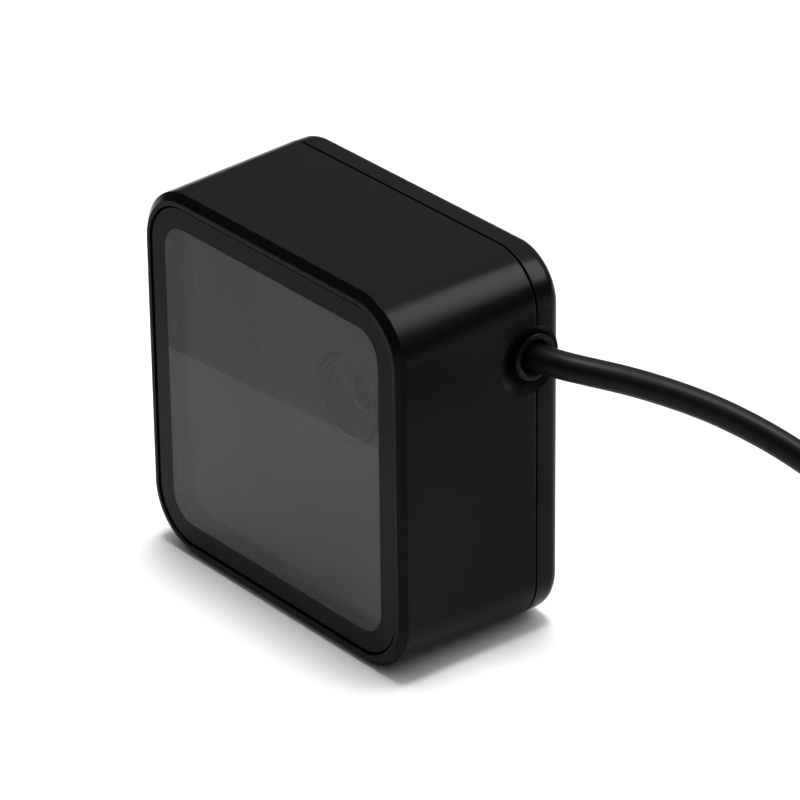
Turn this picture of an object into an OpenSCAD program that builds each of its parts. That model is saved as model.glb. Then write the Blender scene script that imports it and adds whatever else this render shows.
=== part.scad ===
// Square desktop barcode scanner with a smoked window on its front and a lead from its right side.
// Front faces -Y, the lead leaves on +X, the base stands on z = 0. All lengths are in millimetres.

/* [Housing] */
// Width of the housing
case_w = 80; // [74:1:100]
// Height of the housing
case_h = 80.2; // [74:0.2:100]
// Depth of the front shell, from the front face to the seam
shell_d = 32.9; // [32:0.1:45]
// Depth of the rear cover behind the seam
cover_d = 6.2; // [5.5:0.1:10]
// Radius of the housing's four long corners at the seam
corner_r = 11; // [9:0.5:14]
// Radius of the same corners at the front face
front_corner_r = 13; // [10:0.5:15]
// Lean of each side wall from the seam to the front
side_lean = 0.3; // [0:0.1:1.5]
// Lean of the top wall from the seam to the front
top_lean = 0.2; // [0:0.05:1]
// Wall thickness of the shell and the cover
wall = 2.2; // [1.8:0.1:2.6]
// Width of the flat chamfer round the front face, seen from the front
chamfer_w = 1.55; // [0.5:0.05:2]
// Depth of the same chamfer
chamfer_d = 1.3; // [0.5:0.05:2]
// Fillet round the rear face
rear_fillet = 2.85; // [1:0.05:3.5]
// Open joint between shell and cover
seam_gap = 0.5; // [0.3:0.1:1]
// Length of the cover's tongue inside the shell
tongue_len = 2.5; // [1.5:0.5:4]

/* [Window] */
// Width of the rim between the chamfer and the groove
rim_w = 0.95; // [0.8:0.05:2]
// Groove round the bezel
groove_w = 0.5; // [0.3:0.1:0.8]
// Width of the black bezel at the sides
bezel_side = 4.05; // [2.5:0.05:5]
// Width of the black bezel at the top and bottom
bezel_top = 4.25; // [2.5:0.05:5]
// How far bezel and window lie behind the rim
bezel_sink = 0.3; // [0:0.1:1]
// Thickness of the bezel
bezel_t = 1; // [0.8:0.1:1.4]
// Thickness of the window at its clear middle
window_t = 2.2; // [2:0.1:3]
// Corner radius of the clear middle
clear_r = 6; // [4:0.5:7]
// Thickness of the foam gasket behind the window
gasket_t = 0.8; // [0.5:0.1:1.5]
// Thickness of the shell's ledge behind the gasket
ledge_t = 2; // [1.5:0.1:2.5]
// Height of each lug on the ledge
lug_h = 12; // [6:1:16]
// Reach of each lug past the ledge
lug_reach = 2.2; // [1:0.1:4]
// Distance between the centres of the lugs of one side
lug_pitch = 40; // [30:1:44]

/* [Optics] */
// Depth of the light chamber's funnel
funnel_d = 13.8; // [12:0.2:16]
// Inset of the funnel's narrow end
funnel_in = 5; // [3:0.5:7]
// Wall thickness of the light chamber
chamber_wall = 1.2; // [1:0.1:1.6]
// Thickness of the diffuser
diffuser_t = 1.5; // [1:0.1:2]
// Mouth radius of the camera hood
hood_r = 8.6; // [7:0.1:10]
// Radius of the hood's last step
hood_end_r = 3.7; // [3:0.1:5]
// Number of steps in the hood
hood_steps = 5; // [3:1:7]
// Radius of the diffuser's hole round the hood
hood_hole_r = 9.8; // [9.5:0.1:12]
// Sideways place of the aimer beside the hood
aimer_x = 13.5; // [13.5:0.5:18]
// Radius of the aimer's lens
aimer_r = 2.2; // [1.5:0.1:2.5]
// Side of the square lens holder
holder_w = 20; // [18:1:24]
// Length of the lens holder
holder_d = 6.8; // [5.8:0.2:7.4]
// Radius of the circle of light sources round the hood
led_ring_r = 20; // [19:0.5:23]
// Side of each light source
led_w = 3; // [2:0.5:3.5]

/* [Electronics] */
// Thickness of the light board and the camera board
board_t = 1.2; // [0.8:0.1:1.6]
// Thickness of the main board
main_board_t = 1.6; // [1:0.1:1.6]
// Width of the main board
main_board_w = 54; // [50:1:56]
// Height of the main board
main_board_h = 60; // [56:1:62]
// Side of the square camera board
camera_board_w = 26; // [23:1:28]
// Length of the link between camera board and main board
link_d = 1.8; // [1:0.1:2]
// Side of the decoder chip
decoder_w = 12; // [8:1:14]
// Radius of the beeper
beeper_r = 5; // [4:0.5:6]
// Height of the beeper
beeper_h = 4.5; // [3:0.5:5]

/* [Lead] */
// Height of the lead's outlet above the middle of the housing
gland_rise = 20; // [19:0.5:21]
// Diameter of the lead
cable_d = 5.6; // [4:0.1:6]
// Rim radius of the dish round the outlet
dish_r = 7.2; // [6:0.1:8]
// Depth of the dish
dish_depth = 3; // [2:0.1:3.5]
// How far the dish's centre lies in front of the seam
dish_shift = 1.8; // [0:0.1:2.5]
// Radius of the strain relief's collar
collar_r = 4.9; // [4.2:0.1:5.4]
// How far the collar lies below the side face
collar_sink = 1.8; // [1:0.1:2.5]
// Diameter across the middle of the coil's turns
coil_d = 56; // [52:1:60]

/* [Fastening] */
// Radius of the screw bosses
boss_r = 2.8; // [2.6:0.1:3.2]
// Shank diameter of the cover screws
screw_d = 2.2; // [1.8:0.1:2.5]
// Head diameter of the cover screws
screw_head_d = 4.4; // [4:0.1:5]
// Distance between the two mounting inserts
insert_pitch = 40; // [30:1:44]
// Thread bore of the mounting inserts
insert_bore = 2.5; // [2:0.1:3.3]
// Outer diameter of the mounting inserts
insert_d = 4.6; // [4.3:0.1:5.5]
// Length of the mounting inserts
insert_len = 3.4; // [2:0.1:3.4]

/* [Hidden] */

// Fit clearance between moulded pieces
fit = 0.1;
// Thickness of the thin slabs that shape a blended hull
slab = 0.01;
// Air between the diffuser and the board of light sources
led_gap = 1.7;
// Planes along Y, from the front face to the rear face
case_d = shell_d + seam_gap + cover_d;
front_y = -case_d / 2;
rear_y = case_d / 2;
shell_end_y = front_y + shell_d;
seam_y = shell_end_y + seam_gap / 2;
glass_y = front_y + bezel_sink;
flange_y = glass_y + bezel_t;
gasket_y = glass_y + window_t;
ledge_y = gasket_y + gasket_t;
chamber_y = ledge_y + ledge_t;
diffuser_y = chamber_y + funnel_d;
light_board_y = diffuser_y + diffuser_t + led_gap;
holder_y = light_board_y + board_t;
camera_board_y = holder_y + holder_d;
link_y = camera_board_y + board_t;
main_board_y = link_y + link_d;
main_board_end_y = main_board_y + main_board_t;
cover_wall_y = rear_y - wall;
// How far the tongue reaches inward past the wall
tongue_back = 0.3;
// Sizes of the front outline
front_w = case_w - 2 * side_lean;
front_h = case_h - top_lean;
pocket_in = chamfer_w + rim_w;
bezel_in = pocket_in + groove_w;
clear_w = front_w - 2 * (bezel_in + bezel_side);
clear_h = front_h - 2 * (bezel_in + bezel_top);
mid_z = front_h / 2;
// Width of the rim round the hood's mouth
hood_rim = 0.6;
// Sizes of the light chamber
chamber_grow = 0.3;
skirt_in = 0.6;
chamber_w = clear_w + 2 * chamber_grow;
chamber_h = clear_h + 2 * chamber_grow;
chamber_end_w = chamber_w - 2 * funnel_in;
chamber_end_h = chamber_h - 2 * funnel_in;
flange_t = 1.2;
flange_in = wall + 0.4;
// Sizes of the light sources, the sensor and the aimer
led_h = 0.8;
sensor_w = 4.8;
sensor_t = 1;
lens_sink = 1;
aimer_led_w = 2;
aimer_led_t = 0.6;
// Sizes and places of the parts on the main board, seen from the front
link_w = 20;
link_h = 4;
decoder_x = -9;
decoder_t = 1.2;
memory_x = 9;
memory_w = 10;
memory_h = 8;
memory_t = 1;
beeper_x = -16;
beeper_drop = 18;
beeper_hole_r = 1;
beeper_hole_d = 1.5;
socket_x = 14;
socket_w = 8;
socket_d = 5.5;
socket_h = 10;
wire_r = 0.6;
wire_dz = 1;
wire_pitch = 1.3;
wire_in = 0.9;
// Places of the screws
boss_in = 6.2;
boss_x = case_w / 2 - boss_in;
boss_low_z = boss_in;
boss_high_z = case_h - boss_in;
pilot_d = screw_d;
screw_hole_d = screw_d + 0.5;
head_hole_d = screw_head_d + 0.4;
head_h = 1.6;
head_sink = 2.2;
drive_r = 1;
drive_depth = 0.8;
screw_len = 10;
standoff_x = 22;
standoff_dz = 26;
standoff_r = 2.5;
board_screw_d = 1.6;
board_screw_head_d = 3.2;
board_screw_head_h = 1.2;
insert_floor = 0.6;
insert_boss_r = insert_d / 2 + 2;
// Sizes of the lead's outlet
gland_z = case_h / 2 + gland_rise;
side_x = case_w / 2;
collar_x = side_x - collar_sink;
mouth_x = collar_x - 2.2;
neck_r = 3.7;
neck_x = mouth_x - 0.6;
neck_len = 2;
inner_flange_x = neck_x - neck_len;
inner_flange_t = 1.6;
relief_end_x = inner_flange_x - inner_flange_t;
housing_r = collar_r + 2.6;
housing_x = relief_end_x + 0.4;
cable_r = cable_d / 2;
// The coil and its tie, which lies under it
coil_x = 157;
coil_y = 29.7;
coil_rows = 3;
tie_t = 0.5;
coil_half = coil_rows * cable_r;
coil_top_z = tie_t + 2 * coil_half;
tie_angle = 16;
tie_from = 204;
// The route of the lead from its outlet down to the floor and into the coil beside the scanner
lead_route = [[36, 13.4, 60.1], [39, 13.4, 60.1], [42, 14, 60.1], [45.5, 15.4, 59.9], [49, 17.7, 59.4],
    [52.4, 20.7, 58.6], [55.5, 23.9, 57.5], [58.5, 27.2, 56.1], [61.5, 30.5, 54.5], [64.5, 33.8, 52.7],
    [67.6, 37.1, 50.6], [72, 41.9, 47], [77, 47.1, 42.3], [82.5, 51.9, 36.8], [88.8, 55.9, 30.4],
    [95.8, 58.9, 23.6], [103.2, 61, 17.2], [111, 62.2, 11.8], [119, 63, 7.8], [127, 63.8, 5],
    [135, 64.2, 3.7], [143, 64.1, 3.3], [150.5, 63.6, 3.3]];
// The route of the lead's tail out of the coil, over it and to the plug
tail_route = [[167.8, 49.9, 14.5], [174.5, 45.4, 16.9], [180, 39, 19.3], [183.6, 30.6, 20.2],
    [184.2, 20.9, 20.2], [181, 11, 20.2], [173.6, 3.1, 20.2], [160.9, -1.7, 20.2], [147.2, -0.4, 20.4],
    [135.4, 6.6, 20.7], [127.7, 17.9, 20.7], [125.4, 31.4, 20.4], [129.1, 44.5, 20.2], [138, 54.9, 20.2],
    [150.4, 60.6, 20.2], [161.4, 61, 20.2], [171.8, 57.6, 20.2], [180.3, 50.7, 20.4], [186, 41.4, 22],
    [188.2, 30.8, 24.3], [186, 20.3, 25.8], [180.1, 11.7, 26.3], [171.9, 5.8, 26.4], [156.5, 2.3, 26.6],
    [149.4, 4.2, 26.9], [144, 9.2, 27.2], [141.7, 16.3, 27.4], [143, 23.5, 27.6], [147.6, 29.3, 27.6],
    [150.8, 31.7, 27.6]];
// The plug lies on the coil, in line with the end of the tail
tail_end = tail_route[len(tail_route) - 1];
tail_way = tail_end - tail_route[len(tail_route) - 2];
plug_heading = atan2(tail_way[1], tail_way[0]);
plug_relief_len = 10;
plug_relief_r = 3.7;
plug_shoulder = 5;
plug_corner = 2.6;
rib_pitch = 2.4;
rib_gap = 1;
plug_body_len = 24;
plug_body_w = 15.5;
plug_body_h = 7.6;
plug_shell_len = 12.5;
plug_shell_w = 12;
plug_shell_h = 4.5;
plug_metal = 0.3;

// Round shapes are smooth
$fn = 64;

// A flat shape drawn in x and z, made solid from y0 to y1
module upright(y0, y1) {
    translate([0, y1, 0]) rotate([90, 0, 0]) linear_extrude(y1 - y0) children();
}

// A rectangle with round corners, centred on x = 0 and on height z
module rounded(w, h, r, z) {
    translate([0, z]) {
        square([w, h - 2 * r], center = true);
        square([w - 2 * r, h], center = true);
        for (sx = [-1, 1], sz = [-1, 1])
            translate([sx * (w / 2 - r), sz * (h / 2 - r)]) circle(r);
    }
}

// The housing's outline at the seam and at the front, drawn in by inset
module seam_outline(inset) {
    rounded(case_w - 2 * inset, case_h - 2 * inset, corner_r - inset, case_h / 2);
}

module front_outline(inset) {
    rounded(front_w - 2 * inset, front_h - 2 * inset, front_corner_r - inset, mid_z);
}

// The outline of the clear middle, grown by extra
module clear_outline(extra) {
    rounded(clear_w + 2 * extra, clear_h + 2 * extra, clear_r + extra, mid_z);
}

// A cylinder along Y from y0 to y1
module along_y(y0, y1, r) {
    translate([0, y1, 0]) rotate([90, 0, 0]) cylinder(h = y1 - y0, r = r);
}

// A cylinder along X from x0 to x1, on the lead's axis
module along_x(x0, x1, r0, r1) {
    translate([x0, seam_y, gland_z]) rotate([0, 90, 0]) cylinder(h = x1 - x0, r1 = r0, r2 = r1);
}

// The four corners where the cover is screwed to the shell
module at_bosses() {
    for (sx = [-1, 1], z = [boss_low_z, boss_high_z])
        translate([sx * boss_x, 0, z]) children();
}

// The four corners where the main board is screwed to the cover
module at_standoffs() {
    for (sx = [-1, 1], sz = [-1, 1])
        translate([sx * standoff_x, 0, mid_z + sz * standoff_dz]) children();
}

// The two places of the mounting inserts
module at_inserts() {
    for (sx = [-1, 1]) translate([sx * insert_pitch / 2, 0, case_h / 2]) children();
}

// The dish that surrounds the outlet
module outlet_dish() {
    ball_r = (dish_r * dish_r + dish_depth * dish_depth) / (2 * dish_depth);
    translate([side_x - dish_depth + ball_r, seam_y - dish_shift, gland_z]) sphere(ball_r);
}

// The stepped bore that holds the strain relief
module outlet_bore() {
    along_x(neck_x, side_x + 1, collar_r + fit, collar_r + fit);
    along_x(inner_flange_x - 1, neck_x + 1, neck_r + fit, neck_r + fit);
    along_x(relief_end_x - 2, inner_flange_x, collar_r + fit, collar_r + fit);
}

module shell_body() {
    hull() {
        upright(shell_end_y - slab, shell_end_y) seam_outline(0);
        upright(front_y + chamfer_d, front_y + chamfer_d + slab) front_outline(0);
        upright(front_y, front_y + slab) front_outline(chamfer_w);
    }
}

module shell_cavity() {
    hull() {
        upright(shell_end_y, shell_end_y + slab) seam_outline(wall);
        upright(chamber_y, chamber_y + slab) front_outline(wall);
    }
}

// The part of the outlet's housing that lies between y0 and y1
module outlet_housing(y0, y1) {
    intersection() {
        along_x(housing_x, side_x - 1, housing_r, housing_r);
        translate([0, y0, 0]) cube([side_x, y1 - y0, case_h]);
    }
}

module front_shell() {
    color("#26272a") difference() {
        union() {
            difference() {
                shell_body();
                shell_cavity();
            }
            at_bosses() along_y(chamber_y - 1, shell_end_y, boss_r);
            outlet_housing(shell_end_y - housing_r - 1, shell_end_y);
        }
        upright(front_y - 1, ledge_y) front_outline(pocket_in);
        difference() {
            upright(ledge_y - 1, chamber_y + 1) clear_outline(0);
            for (sx = [-1, 1], sz = [-1, 1])
                translate([sx * clear_w / 2, ledge_y + ledge_t / 2, mid_z + sz * lug_pitch / 2])
                    cube([2 * lug_reach, 2 * ledge_t + 4, lug_h], center = true);
        }
        difference() {
            upright(shell_end_y - tongue_len - fit, shell_end_y + 1) seam_outline(wall / 2);
            upright(shell_end_y - tongue_len - 1, shell_end_y + 2) seam_outline(wall + tongue_back + fit);
        }
        at_bosses() along_y(shell_end_y - screw_len, shell_end_y + 1, pilot_d / 2);
        outlet_dish();
        outlet_bore();
    }
}

// The cover's outside is the hull of four round corners, whose rear edges have the fillet
module cover_body() {
    fillet = [for (a = [0:15:90]) [corner_r - rear_fillet * (1 - cos(a)),
        cover_d - rear_fillet * (1 - sin(a))]];
    hull() for (sx = [-1, 1], z = [corner_r, case_h - corner_r])
        translate([sx * (case_w / 2 - corner_r), rear_y - cover_d, z]) rotate([-90, 0, 0])
            rotate_extrude() polygon(concat([[0, 0], [corner_r, 0]], fillet, [[0, cover_d]]));
}

module rear_cover() {
    color("#2a2b2e") difference() {
        union() {
            difference() {
                cover_body();
                upright(shell_end_y, cover_wall_y) seam_outline(wall);
            }
            difference() {
                upright(shell_end_y - tongue_len, shell_end_y + seam_gap + 1) seam_outline(wall / 2 + fit);
                upright(shell_end_y - tongue_len - 1, cover_wall_y) seam_outline(wall + tongue_back);
            }
            at_bosses() along_y(shell_end_y, cover_wall_y + 1, boss_r);
            at_standoffs() along_y(main_board_end_y, cover_wall_y + 1, standoff_r);
            at_inserts() along_y(rear_y - insert_len - insert_floor, cover_wall_y + 1, insert_boss_r);
            outlet_housing(shell_end_y, cover_wall_y + 1);
        }
        at_inserts() along_y(rear_y - insert_len, rear_y + 1, insert_d / 2);
        at_bosses() along_y(shell_end_y - tongue_len - 1, rear_y + 1, screw_hole_d / 2);
        at_bosses() along_y(rear_y - head_sink, rear_y + 1, head_hole_d / 2);
        at_standoffs() along_y(main_board_end_y - 1, cover_wall_y, board_screw_d / 2);
        outlet_dish();
        outlet_bore();
    }
}

module window_bezel() {
    color("#18181a") difference() {
        upright(glass_y, flange_y) front_outline(bezel_in);
        upright(front_y - 1, flange_y + 1) clear_outline(0);
    }
}

module window() {
    color("#4a4a50", 0.8) {
        upright(glass_y, flange_y) clear_outline(-fit / 2);
        upright(flange_y, gasket_y) front_outline(bezel_in);
    }
}

module window_gasket() {
    color("#141414") difference() {
        upright(gasket_y, ledge_y) front_outline(bezel_in);
        upright(gasket_y - 1, ledge_y + 1) clear_outline(0);
    }
}

// The funnel of the light chamber from y0 to y1, grown by extra
module funnel(y0, y1, extra) {
    hull() {
        upright(y0, y0 + slab) clear_outline(chamber_grow + extra);
        upright(y1 - slab, y1) chamber_end(extra);
    }
}

module chamber_end(extra) {
    rounded(chamber_end_w + 2 * extra, chamber_end_h + 2 * extra, clear_r + extra, mid_z);
}

module light_chamber() {
    color("#56565a") difference() {
        union() {
            upright(chamber_y, chamber_y + flange_t) front_outline(flange_in);
            funnel(chamber_y + flange_t / 2, diffuser_y - chamber_wall / 2, chamber_wall);
            upright(diffuser_y - chamber_wall, light_board_y) chamber_end(chamber_wall + skirt_in);
        }
        funnel(chamber_y - 1, diffuser_y + 1, 0);
        upright(diffuser_y, light_board_y + 1) chamber_end(skirt_in);
        at_bosses() along_y(chamber_y - 1, light_board_y, boss_r + 0.3);
    }
}

module diffuser() {
    color("#8a8a8e") difference() {
        upright(diffuser_y, diffuser_y + diffuser_t) chamber_end(skirt_in - fit);
        translate([0, 0, mid_z]) along_y(diffuser_y - 1, diffuser_y + diffuser_t + 1, hood_hole_r);
        translate([aimer_x, 0, mid_z])
            along_y(diffuser_y - 1, diffuser_y + diffuser_t + 1, aimer_r + 0.3);
    }
}

// The hood is a stepped funnel whose rings keep stray light from the lens
module camera_hood() {
    hood_len = holder_y - diffuser_y;
    step_d = hood_len / hood_steps;
    mouth_r = hood_r - hood_rim;
    step_r = (mouth_r - hood_end_r) / (hood_steps - 1);
    color("#1c1c1e") translate([0, 0, mid_z]) difference() {
        along_y(diffuser_y, holder_y, hood_r);
        for (i = [0:hood_steps - 2])
            along_y(diffuser_y - 1, diffuser_y + (i + 1) * step_d, mouth_r - i * step_r);
        along_y(diffuser_y - 1, holder_y + 1, hood_end_r);
    }
}

module lens_holder() {
    color("#1a1a1c") difference() {
        translate([-holder_w / 2, holder_y, mid_z - holder_w / 2]) cube([holder_w, holder_d, holder_w]);
        translate([0, 0, mid_z]) along_y(holder_y - 1, camera_board_y + 1, hood_end_r);
    }
}

module lens() {
    color("#6a7a90") translate([0, 0, mid_z])
        along_y(holder_y + lens_sink, camera_board_y - sensor_t - lens_sink, hood_end_r);
}

module image_sensor() {
    color("#2c3440") translate([-sensor_w / 2, camera_board_y - sensor_t, mid_z - sensor_w / 2])
        cube([sensor_w, sensor_t, sensor_w]);
}

module camera_board() {
    color("#1f5a34") translate([-camera_board_w / 2, camera_board_y, mid_z - camera_board_w / 2])
        cube([camera_board_w, board_t, camera_board_w]);
}

module light_board() {
    color("#1f5a34") difference() {
        upright(light_board_y, holder_y) chamber_end(chamber_wall + skirt_in);
        translate([0, 0, mid_z]) along_y(light_board_y - 1, holder_y + 1, hood_r + fit);
    }
}

// Eight light sources stand round the hood
module illumination_leds() {
    color("#f2efe0") for (a = [22.5:45:337.5])
        translate([led_ring_r * cos(a), light_board_y - led_h / 2, mid_z + led_ring_r * sin(a)])
            cube([led_w, led_h, led_w], center = true);
}

module aimer_lens() {
    color("#c8d0d8") translate([aimer_x, 0, mid_z])
        along_y(diffuser_y, light_board_y - aimer_led_t, aimer_r);
}

module aimer_led() {
    color("#d8c070")
        translate([aimer_x - aimer_led_w / 2, light_board_y - aimer_led_t, mid_z - aimer_led_w / 2])
            cube([aimer_led_w, aimer_led_t, aimer_led_w]);
}

module main_board() {
    color("#1f5a34") difference() {
        translate([-main_board_w / 2, main_board_y, mid_z - main_board_h / 2])
            cube([main_board_w, main_board_t, main_board_h]);
        at_standoffs() along_y(main_board_y - 1, main_board_end_y + 1, board_screw_d / 2);
    }
}

module decoder_chip() {
    color("#1b1b1d") translate([decoder_x - decoder_w / 2, main_board_end_y, mid_z - decoder_w / 2])
        cube([decoder_w, decoder_t, decoder_w]);
}

module memory_chip() {
    color("#1b1b1d") translate([memory_x - memory_w / 2, main_board_end_y, mid_z - memory_h / 2])
        cube([memory_w, memory_t, memory_h]);
}

module board_link() {
    color("#2b2b2b") translate([-link_w / 2, link_y, mid_z - link_h / 2]) cube([link_w, link_d, link_h]);
}

module beeper() {
    color("#161616") translate([beeper_x, 0, mid_z - beeper_drop]) difference() {
        along_y(main_board_y - beeper_h, main_board_y, beeper_r);
        along_y(main_board_y - beeper_h - 1, main_board_y - beeper_h + beeper_hole_d, beeper_hole_r);
    }
}

module cable_socket() {
    color("#e8e4d8")
        translate([socket_x - socket_w / 2, main_board_y - socket_d, gland_z - socket_h / 2])
            cube([socket_w, socket_d, socket_h]);
}

// Four insulated wires run from the outlet to the socket
module cable_leads() {
    wire_x = socket_x + socket_w / 2;
    color("#c04040") for (dy = [wire_in, wire_in + wire_pitch], dz = [-wire_dz, wire_dz])
        translate([wire_x, seam_y - dy, gland_z + dz]) rotate([0, 90, 0])
            cylinder(h = relief_end_x - wire_x, r = wire_r);
}

module strain_relief() {
    color("#1d1d1f") difference() {
        union() {
            along_x(neck_x, collar_x, collar_r, collar_r);
            along_x(inner_flange_x, neck_x, neck_r, neck_r);
            along_x(relief_end_x, inner_flange_x, collar_r, collar_r);
        }
        along_x(mouth_x, collar_x + slab, cable_r + 0.1, collar_r - 0.6);
    }
}

// A tube of round section swept along points, closed at both ends
module sweep(points, r, sides) {
    last = len(points) - 1;
    tangents = [for (i = [0:last]) unit(points[min(i + 1, last)] - points[max(i - 1, 0)])];
    rings = [for (i = [0:last]) ring(points[i], tangents[i], r, sides)];
    polyhedron(
        points = [for (c = rings) each c],
        faces = concat(
            [[for (k = [0:sides - 1]) k]],
            [for (i = [0:last - 1], k = [0:sides - 1]) let (a = i * sides, m = (k + 1) % sides)
                each [[a + k, a + sides + k, a + m], [a + m, a + sides + k, a + sides + m]]],
            [[for (k = [sides - 1:-1:0]) last * sides + k]]));
}

function unit(v) = v / norm(v);

// One ring of the tube, level at its side and square to the direction t
function ring(p, t, r, sides) = let (a = unit(cross(t, [0, 0, 1])), b = cross(a, t))
    [for (k = [0:sides - 1]) p + r * (cos(360 * k / sides) * a + sin(360 * k / sides) * b)];

// The ring of turns, from height z to the top of the coil
module coil_ring(z) {
    translate([coil_x, coil_y, z]) rotate_extrude()
        translate([coil_d / 2 - coil_half, 0]) square([2 * coil_half, coil_top_z - z]);
}

module cable() {
    color("#17171a") difference() {
        union() {
            sweep(lead_route, cable_r, 12);
            sweep(tail_route, cable_r, 12);
        }
        coil_ring(-1);
    }
}

module cable_coil() {
    color("#17171a") coil_ring(tie_t);
}

module cable_tie() {
    color("#303032") translate([coil_x, coil_y, 0]) rotate([0, 0, tie_from])
        rotate_extrude(angle = tie_angle) difference() {
            translate([coil_d / 2 - coil_half - tie_t, 0])
                square([2 * (coil_half + tie_t), 2 * (coil_half + tie_t)]);
            translate([coil_d / 2 - coil_half, tie_t]) square([2 * coil_half, 2 * coil_half]);
        }
}

// Places a piece of the plug at its distance from the end of the tail, just clear of it
module at_plug(distance) {
    translate(tail_end) rotate([0, 0, plug_heading]) translate([distance + slab, 0, 0]) children();
}

// A flat shape made solid along the plug, from x0 to x1
module along_plug(x0, x1) {
    translate([x0, 0, 0]) rotate([90, 0, 90]) linear_extrude(x1 - x0) children();
}

module plug_outline() {
    rounded(plug_body_w, plug_body_h, plug_corner, 0);
}

// The plug's ribbed strain relief widens over a shoulder into its grip
module plug_body() {
    body_x = plug_relief_len + plug_shoulder;
    color("#1b1b1d") at_plug(0) {
        difference() {
            rotate([0, 90, 0]) cylinder(h = plug_relief_len, r1 = cable_r + 0.4, r2 = plug_relief_r);
            for (i = [1:3]) along_plug(i * rib_pitch, i * rib_pitch + rib_gap) difference() {
                circle(plug_relief_r + 1);
                circle(cable_r - 0.2);
            }
        }
        hull() {
            along_plug(plug_relief_len, plug_relief_len + slab) circle(plug_relief_r);
            along_plug(body_x - slab, body_x) plug_outline();
        }
        along_plug(body_x, plug_relief_len + plug_body_len) plug_outline();
    }
}

module plug_shell() {
    color("#b8b8bc") at_plug(plug_relief_len + plug_body_len) difference() {
        translate([0, -plug_shell_w / 2, -plug_shell_h / 2])
            cube([plug_shell_len, plug_shell_w, plug_shell_h]);
        translate([1, -plug_shell_w / 2 + plug_metal, -plug_shell_h / 2 + plug_metal])
            cube([plug_shell_len, plug_shell_w - 2 * plug_metal, plug_shell_h - 2 * plug_metal]);
    }
}

module plug_contacts() {
    color("#e0e0e0") at_plug(plug_relief_len + plug_body_len + 1)
        translate([0, -plug_shell_w / 2 + plug_metal, -plug_shell_h / 2 + plug_metal])
            cube([plug_shell_len - 1.5, plug_shell_w - 2 * plug_metal, 1.9]);
}

module cover_screws() {
    color("#8c8c90") at_bosses() difference() {
        union() {
            along_y(rear_y - head_sink, rear_y - head_sink + head_h, screw_head_d / 2);
            along_y(shell_end_y - screw_len + 1, rear_y - head_sink, screw_d / 2);
        }
        along_y(rear_y - head_sink + head_h - drive_depth, rear_y, drive_r);
    }
}

module board_screws() {
    color("#8c8c90") at_standoffs() {
        along_y(main_board_y - board_screw_head_h, main_board_y, board_screw_head_d / 2);
        along_y(main_board_y, cover_wall_y - 0.4, board_screw_d / 2);
    }
}

module mounting_inserts() {
    color("#b8935a") at_inserts() difference() {
        along_y(rear_y - insert_len, rear_y, insert_d / 2);
        along_y(rear_y - insert_len - 1, rear_y + 1, insert_bore / 2);
    }
}

front_shell();
rear_cover();
window_bezel();
window();
window_gasket();
light_chamber();
diffuser();
camera_hood();
lens_holder();
lens();
image_sensor();
camera_board();
light_board();
illumination_leds();
aimer_lens();
aimer_led();
main_board();
decoder_chip();
memory_chip();
board_link();
beeper();
cable_socket();
cable_leads();
strain_relief();
cable();
cable_coil();
cable_tie();
plug_body();
plug_shell();
plug_contacts();
cover_screws();
board_screws();
mounting_inserts();
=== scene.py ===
"""Desktop barcode scanner: its camera, lead, finishes, floor and light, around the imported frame.

Lengths are in metres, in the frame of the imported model: the window faces -Y, the lead leaves on
+X and the base stands on z = 0. Sizes whose names end in _mm are in millimetres, and so are all
sizes of the strain relief.
"""

import logging
import math
from abc import ABC, abstractmethod
from dataclasses import dataclass, field
from enum import Enum

import bmesh
import bpy
from mathutils import Matrix, Vector


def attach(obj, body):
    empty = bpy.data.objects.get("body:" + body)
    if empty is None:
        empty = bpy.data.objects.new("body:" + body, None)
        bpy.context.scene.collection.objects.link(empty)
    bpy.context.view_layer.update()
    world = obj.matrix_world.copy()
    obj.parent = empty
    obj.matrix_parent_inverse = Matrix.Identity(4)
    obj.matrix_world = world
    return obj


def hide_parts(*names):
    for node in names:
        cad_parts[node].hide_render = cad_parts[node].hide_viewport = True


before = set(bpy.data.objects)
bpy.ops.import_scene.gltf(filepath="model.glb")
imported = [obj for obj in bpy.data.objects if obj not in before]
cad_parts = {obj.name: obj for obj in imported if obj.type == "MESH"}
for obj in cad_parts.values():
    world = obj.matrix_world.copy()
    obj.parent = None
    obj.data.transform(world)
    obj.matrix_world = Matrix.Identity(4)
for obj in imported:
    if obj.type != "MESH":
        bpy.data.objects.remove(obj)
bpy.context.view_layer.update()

log = logging.getLogger("scanner")
MM = 0.001


def linear(colour: str) -> tuple[float, float, float, float]:
    """Turns an sRGB hex colour into a linear one.

    Args:
        colour: the colour as six hex digits after a #.

    Returns:
        Linear red, green, blue and an alpha of 1.
    """
    parts = [int(colour[i:i + 2], 16) / 255 for i in (1, 3, 5)]
    red, green, blue = (
        c / 12.92 if c <= 0.04045 else ((c + 0.055) / 1.055) ** 2.4 for c in parts
    )
    return red, green, blue, 1.0


def add_node(
    tree: bpy.types.NodeTree,
    kind: str,
    settings: dict[str | int, object] | None = None,
    links: dict[str | int, bpy.types.NodeSocket] | None = None,
) -> bpy.types.Node:
    """Adds one node with its settings and links.

    Args:
        tree: the node tree that gets it.
        kind: the node's type, such as ShaderNodeBump.
        settings: values of its own options, and of its input sockets by name or number.
        links: for an input socket, by name or number, the output socket that feeds it.

    Returns:
        The new node.
    """
    node = tree.nodes.new(kind)
    for key, value in (settings or {}).items():
        if isinstance(key, str) and hasattr(node, key):
            setattr(node, key, value)
        else:
            node.inputs[key].default_value = value
    for key, source in (links or {}).items():
        tree.links.new(source, node.inputs[key])
    return node


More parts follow.
